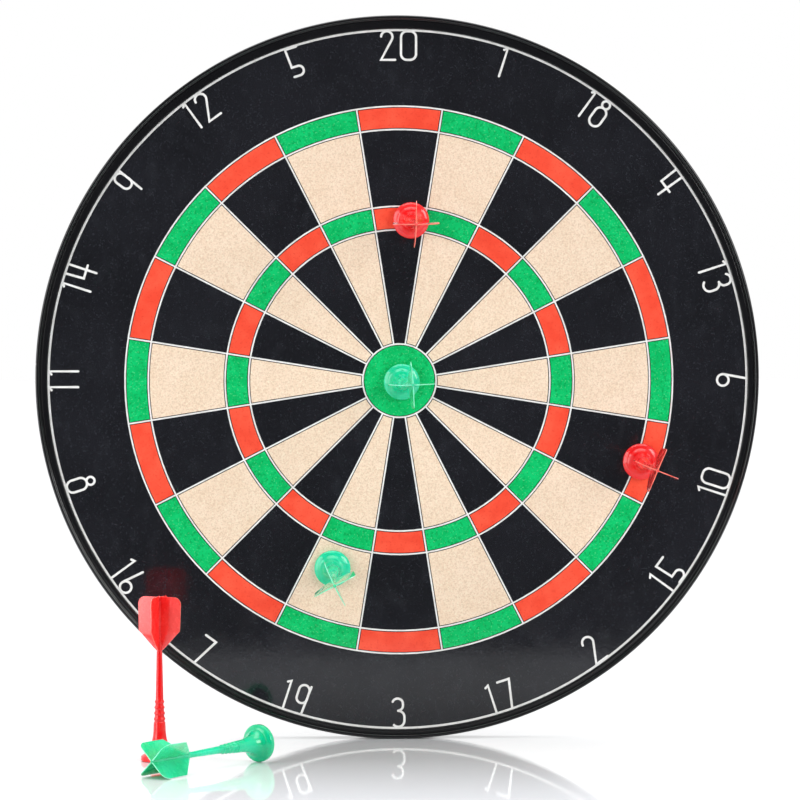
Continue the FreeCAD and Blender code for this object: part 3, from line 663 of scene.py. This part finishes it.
def dart_axes(name):
    """A matrix with z from the head's flat face to the tail and x along a vane."""
    def cloud(piece):
        vertices = nodes[f"{name}_{piece}"].data.vertices
        return [Vector(p) for p in sorted({tuple(round(c, 6) for c in vertex.co) for vertex in vertices})]

    def middle(points):
        return sum(points, Vector()) / len(points)

    magnet, flight = cloud("magnet"), cloud("flight")
    axis = (middle(flight) - middle(magnet)).normalized()
    start = middle(magnet) - axis * MAGNET_DEPTH / 2 * MM
    turn = axis.to_track_quat("Z", "Y").to_matrix()
    spokes = [turn.inverted() @ (point - start) for point in flight]
    reach = max(math.hypot(s.x, s.y) for s in spokes)
    far = [4 * math.atan2(s.y, s.x) for s in spokes if math.hypot(s.x, s.y) > 0.9 * reach]
    quarter = math.atan2(sum(map(math.sin, far)), sum(map(math.cos, far))) / 4
    return Matrix.Translation(start) @ turn.to_4x4() @ Matrix.Rotation(quarter, 4, "Z")


# %% [markdown]
# ## Dart plastic
# The darts are moulded from tinted plastic that glows at its thin edges. Principled gives that with some
# light scattered under the skin, and in the vanes a little passed straight through. The thick barrel
# looks solid under a sharp clear gloss. The rims of the vanes get a paler plastic of their own: this is
# a painted glow, standing in for the light that enters a vane and leaves it at the rim. Moulding leaves
# faint flow marks, slow changes of tint and gloss.

# %% Dart plastics
def dart_plastic(name, deep, pale, scatter, clear, shine=0.5):
    """clear is the share of light that passes straight through, shine the strength of the gloss."""
    finish = Finish(name, IOR=1.45, Subsurface_Weight=0.3, Subsurface_Scale=0.002, Transmission_Weight=clear,
                    Specular_IOR_Level=shine, Coat_Weight=0.9, Coat_Roughness=0.035)
    finish.shader.inputs["Subsurface Radius"].default_value = scatter
    flow = finish.grain(18, 1.0, finish.stretched(1.0, 1.0, 1.6))
    cloud = finish.mix(finish.span(flow, 0, 1), srgb(*deep), srgb(*pale))
    gloss = finish.span(finish.grain(4.0, 3.0), 0.2, 0.32)
    skin = finish.maths("ADD", finish.grain(5.0), finish.maths("MULTIPLY", finish.grain(0.9), 0.25))
    return finish.use(cloud, gloss, skin, 0.006)


RED_GLOW = (1.0, 0.12, 0.1)
GREEN_GLOW = (0.15, 1.0, 0.5)
PLASTICS = {
    "red": [
        dart_plastic("red_barrel_plastic", (230, 12, 16), (246, 26, 28), RED_GLOW, 0.0, 0.15),
        dart_plastic("red_vane_plastic", (250, 24, 24), (255, 64, 56), RED_GLOW, 0.04),
        # The rim plastic's paler colour is a painted glow on the vanes' edges, not a plastic of another
        # colour.
        dart_plastic("red_rim_painted_glow", (255, 112, 100), (255, 142, 126), RED_GLOW, 0.0),
    ],
    "green": [
        dart_plastic("green_barrel_plastic", (0, 196, 138), (6, 216, 164), GREEN_GLOW, 0.0, 0.15),
        dart_plastic("green_vane_plastic", (0, 202, 136), (30, 224, 168), GREEN_GLOW, 0.04),
        # The rim plastic's paler colour is a painted glow on the vanes' edges, not a plastic of another
        # colour.
        dart_plastic("green_rim_painted_glow", (124, 238, 192), (160, 246, 210), GREEN_GLOW, 0.0),
    ],
}
print("dart plastics:", [plastic.name for colour in PLASTICS.values() for plastic in colour])

# %% [markdown]
# ## Barrel
# One turned section makes the whole barrel: a flat foot round the magnet's pocket, a rounded edge, a
# fine crease, a trumpet that narrows to the neck, four soft ribs to hold it by, and a long taper. The
# trumpet runs through a few points with a smooth curve. Long thin mouldings never stay quite straight,
# so each barrel and flight leans a little towards its tail, while the head stays flat on the board.

# %% Barrel section
def smooth_through(points, steps=6):
    """A smooth curve through points, by the rule that Catmull and Rom gave."""
    padded = [points[0]] + list(points) + [points[-1]]
    curve = []
    for a, b, c, d in zip(padded, padded[1:], padded[2:], padded[3:]):
        for step in range(steps):
            t = step / steps
            curve.append(tuple(
                0.5 * (2 * q + (r - p) * t + (2 * p - 5 * q + 4 * r - s) * t * t
                       + (3 * q - p - 3 * r + s) * t ** 3)
                for p, q, r, s in zip(a, b, c, d)
            ))
    return curve + [points[-1]]


GRIP = (20.9, 33.2)
GRIP_RADII = (2.75, 2.05)
RIB_PITCH = 3.05
RIB_WIDTH = 1.95
RIB_RISE = 0.42
SHAFT_END = 58.5
SHAFT_RADIUS = 1.5


def grip_section():
    """The grip's slow taper with four rounded ribs on it."""
    points = []
    steps = 60
    for step in range(steps + 1):
        height = GRIP[0] + (GRIP[1] - GRIP[0]) * step / steps
        root = GRIP_RADII[0] + (GRIP_RADII[1] - GRIP_RADII[0]) * step / steps
        off_centre = (height - GRIP[0]) % RIB_PITCH - RIB_PITCH / 2
        on_rib = abs(off_centre) < RIB_WIDTH / 2
        rise = RIB_RISE * math.cos(math.pi * off_centre / RIB_WIDTH) if on_rib else 0.0
        points.append((root + rise, height))
    return points


def barrel_section():
    pocket = [(0.0, 3.0), (7.5, 3.0), (7.5, 0.2), (7.65, 0.0)]
    edge = corner(9.35, 0.65, 0.65, -90, 0, 5) + corner(9.0, 2.15, 1.0, 0, 50, 7)
    edge += smooth_through([(9.45, 3.08), (9.0, 3.42), (8.5, 3.72), (8.0, 4.0)], 4)
    crease = [(7.85, 4.06), (7.72, 4.07), (7.6, 4.14)]
    trumpet = smooth_through([(7.45, 4.25), (6.6, 4.95), (5.7, 6.15), (4.75, 8.3), (3.95, 11.6), (3.4, 15.0),
                              (3.25, 18.0), (3.15, 20.4)])
    shoulder = [(3.05, 20.7)]
    taper = [(GRIP_RADII[1] + (SHAFT_RADIUS - GRIP_RADII[1]) * s, GRIP[1] + (SHAFT_END - GRIP[1]) * s)
             for s in (0.12, 0.3, 0.5, 0.7, 0.9, 0.99)]
    mouth = [(1.42, SHAFT_END), (0.9, SHAFT_END), (0.9, 51.0), (0.0, 51.0)]
    return pocket + edge + crease + trumpet + shoulder + grip_section() + taper + mouth


# How far each dart's tail leans to the right and up, in mm.
TAIL_LEAN = {
    "red_dart_treble": (-0.6, -2.1),
    "green_dart_bull": (2.9, 1.7),
    "red_dart_double": (0.9, 0.2),
    "green_dart_single": (-0.7, -2.2),
}
LEAN_FROM = 15.0
DART_LENGTH = 88.0


def lean(shape, name, axes):
    """Bends the finished mesh sideways, more and more towards the tail."""
    right, up = TAIL_LEAN.get(name, (0.0, 0.0))
    home = axes.inverted()
    for vertex in shape.verts:
        share = max(0.0, (home @ vertex.co).z / MM - LEAN_FROM) / (DART_LENGTH - LEAN_FROM)
        vertex.co += Vector((right, 0, up)) * MM * share ** 1.3


# %% [markdown]
# ## Flight
# The flight is a second moulding: a thin core with four vanes. A vane slopes out at its front, runs
# nearly straight, and is rounded at its rear corner. It is made as a grid of points between the core
# and that outline, with two skins, thinner towards the rim where the plastic runs out. Each vane warps
# by a few tenths of a millimetre, as cooling leaves it.

# %% Flight
VANE_START = 58.7
VANE_END = 87.5
VANE_SLOPE_END = 69.5
VANE_REACH = 12.5
VANE_CORNER = 4.0
VANE_WAIST = 0.6
CORE_RADIUS = 0.9
VANE_HALF = 0.3
RIM_HALF = 0.17


def vane_reach(height):
    """How far a vane reaches from the axis at that height."""
    corner_start = VANE_END - VANE_CORNER
    if height < VANE_SLOPE_END:
        share = (height - VANE_START) / (VANE_SLOPE_END - VANE_START)
        return SHAFT_RADIUS + (VANE_REACH - VANE_WAIST - SHAFT_RADIUS) * share ** 0.97
    if height < corner_start:
        share = (height - VANE_SLOPE_END) / (corner_start - VANE_SLOPE_END)
        return VANE_REACH - VANE_WAIST * (1 - share)
    return VANE_REACH - VANE_CORNER + math.sqrt(max(VANE_CORNER ** 2 - (height - corner_start) ** 2, 0.0))


def vane_heights():
    """Rows of the grid, close together at the rounded corner."""
    slope = [VANE_START + (VANE_SLOPE_END - VANE_START) * s / 8 for s in range(8)]
    straight = [VANE_SLOPE_END + (VANE_END - VANE_CORNER - VANE_SLOPE_END) * s / 10 for s in range(10)]
    rounded = [VANE_END - VANE_CORNER * (1 - math.sin(math.radians(a))) for a in range(0, 91, 10)]
    return slope + straight + rounded


def vane(shape, turn, warp, phase, axes):
    """One vane as a closed thin body: two skins that meet in a narrow rim."""
    columns = 9
    rows = []
    for height in vane_heights():
        reach = vane_reach(height)
        root = min(CORE_RADIUS * 0.6, reach)
        row = []
        for column in range(columns):
            share = column / (columns - 1)
            radius = root + (reach - root) * share
            outer = (radius / VANE_REACH) ** 2
            bend = warp * outer * math.sin(phase + 2.4 * (height - VANE_START) / (VANE_END - VANE_START))
            half = VANE_HALF + (RIM_HALF - VANE_HALF) * share ** 3
            row.append([
                shape.verts.new(axes @ (turn @ (Vector((radius, bend + side * half, height)) * MM)))
                for side in (-1, 1)
            ])
        rows.append(row)
    for low, high in zip(rows, rows[1:]):
        for left in range(columns - 1):
            right = left + 1
            for side in (0, 1):
                shape.faces.new((low[left][side], low[right][side], high[right][side], high[left][side]))
        # The rim faces take slot 1, the paler rim plastic, which paints a glow onto the vane's edges.
        for edge in (0, columns - 1):
            rim = shape.faces.new((low[edge][0], low[edge][1], high[edge][1], high[edge][0]))
            rim.material_index = 1
    for row in (rows[0], rows[-1]):
        for left in range(columns - 1):
            rim = shape.faces.new((row[left][0], row[left + 1][0], row[left + 1][1], row[left][1]))
            rim.material_index = 1


def core_section():
    """The pin, the swelling where the vanes start, the thin core and the nub at the tail."""
    pin = [(0.0, 51.6), (0.6, 51.6), (0.85, 51.9), (0.85, SHAFT_END), (1.42, SHAFT_END)]
    swelling = [(1.48, 58.7), (1.42, 60.0), (1.15, 62.5), (CORE_RADIUS, 65.5), (CORE_RADIUS, 86.9)]
    nub = corner(0.0, DART_LENGTH - CORE_RADIUS, CORE_RADIUS, 0, 90, 5)
    return pin + smooth_through(swelling, 5) + nub


def flight(name, axes, number):
    shape = lathe(core_section(), round_angles(24), axes)
    for quarter in range(4):
        turn = Matrix.Rotation(math.radians(90 * quarter), 4, "Z")
        warp = 0.9 * math.cos(1.7 * number + 2.1 * quarter)
        vane(shape, turn, warp, 0.5 * number + quarter, axes)
    bmesh.ops.remove_doubles(shape, verts=shape.verts[:], dist=0.00001)
    return shape


# %% Make the darts
for number, name in enumerate(DARTS):
    colour = "red" if name.startswith("red") else "green"
    solid, clear, rim = PLASTICS[colour]
    axes = dart_axes(name)
    barrel = lathe(barrel_section(), round_angles(72), axes)
    lean(barrel, name, axes)
    hand_over(f"barrel_of_{name}", barrel, solid, name, [f"{name}_barrel"], 50)
    vanes = flight(name, axes, number)
    lean(vanes, name, axes)
    piece = hand_over(f"vanes_of_{name}", vanes, clear, name, [f"{name}_flight"], 50)
    # The second slot holds the rim plastic, a paler colour painted onto the vanes' edges as a glow.
    piece.data.materials.append(rim)
    dress(f"{name}_magnet", magnet_grey)

# %% [markdown]
# ## Table and light
# The board stands on a glossy white table. The table's front is nearly half a metre before the board, and
# since the film mirrors what lies in front of it, only the lowest part of the face shows the table as
# a paler band. The strongest light stands at the upper right and a weaker one at the left, both large
# and soft, so a dart's head throws its shadow down and to the left. A third hangs over the table. What
# surrounds it all is bright behind the board and dark in front, which keeps the black face black.

# %% Table
TABLE_Z = -0.2
TABLE_FRONT = -0.47


def table_top():
    finish = Finish("table_white", IOR=1.5)
    tone = finish.mix(finish.span(finish.grain(220, 2.0), 0, 1), srgb(218, 219, 221), srgb(223, 224, 226))
    out = finish.add("SeparateXYZ", {0: finish.where}).outputs["Y"]
    # Painted light: the table's colour is paler towards its front and greyer near and behind the board,
    # standing in for how the light falls over it.
    painted_light_front = finish.span(out, 1, 0, -0.26, -0.1)
    white = finish.mix(painted_light_front, tone, srgb(248, 250, 254))
    return finish.use(white, finish.span(finish.grain(90, 3.0), 0.035, 0.06))


table = bmesh.new()
for x, y in ((-4, TABLE_FRONT), (4, TABLE_FRONT), (4, 5), (-4, 5)):
    table.verts.new((x, y, TABLE_Z))
table.faces.new(table.verts[:])
table_mesh = bpy.data.meshes.new("table")
table.to_mesh(table_mesh)
table.free()
table_mesh.materials.append(table_top())
table_object = bpy.data.objects.new("table", table_mesh)
bpy.context.scene.collection.objects.link(table_object)

# %% Lights
def soft_light(name, place, aim, width, height, power):
    light = bpy.data.lights.new(name, "AREA")
    light.shape = "RECTANGLE"
    light.size = width
    light.size_y = height
    light.energy = power
    lamp = bpy.data.objects.new(name, light)
    lamp.location = place
    lamp.rotation_euler = (Vector(aim) - Vector(place)).to_track_quat("-Z", "Y").to_euler()
    bpy.context.scene.collection.objects.link(lamp)


soft_light("key_light", (1.75, -1.45, 0.95), (0, 0, 0), 1.0, 1.3, 31)
soft_light("left_light", (-1.6, -0.85, 0.42), (0, 0, 0), 1.1, 1.5, 19)
soft_light("table_light", (0.0, 0.2, 2.2), (0, 0.2, -0.2), 2.4, 2.4, 48)


def surroundings():
    world = bpy.data.worlds.new("studio")
    bpy.context.scene.world = world
    world.use_nodes = True
    tree = world.node_tree
    background = tree.nodes["Background"]
    way = tree.nodes.new("ShaderNodeTexCoord").outputs["Generated"]
    parts = tree.nodes.new("ShaderNodeSeparateXYZ")
    tree.links.new(way, parts.inputs[0])
    ramp = tree.nodes.new("ShaderNodeValToRGB")
    ramp.color_ramp.elements[0].position = 0.08
    ramp.color_ramp.elements[0].color = (0.10, 0.10, 0.11, 1)
    ramp.color_ramp.elements[1].position = 0.62
    ramp.color_ramp.elements[1].color = (1.15, 1.15, 1.15, 1)
    half = tree.nodes.new("ShaderNodeMapRange")
    half.inputs["From Min"].default_value = -1.0
    half.inputs["From Max"].default_value = 1.0
    tree.links.new(parts.outputs["Y"], half.inputs["Value"])
    tree.links.new(half.outputs[0], ramp.inputs[0])
    seen = tree.nodes.new("ShaderNodeLightPath").outputs["Is Camera Ray"]
    choose = tree.nodes.new("ShaderNodeMix")
    choose.data_type = "RGBA"
    tree.links.new(seen, choose.inputs[0])
    tree.links.new(ramp.outputs[0], choose.inputs[6])
    choose.inputs[7].default_value = (1.0, 1.0, 1.0, 1.0)
    tree.links.new(choose.outputs[2], background.inputs["Color"])
    background.inputs["Strength"].default_value = 1.0


surroundings()
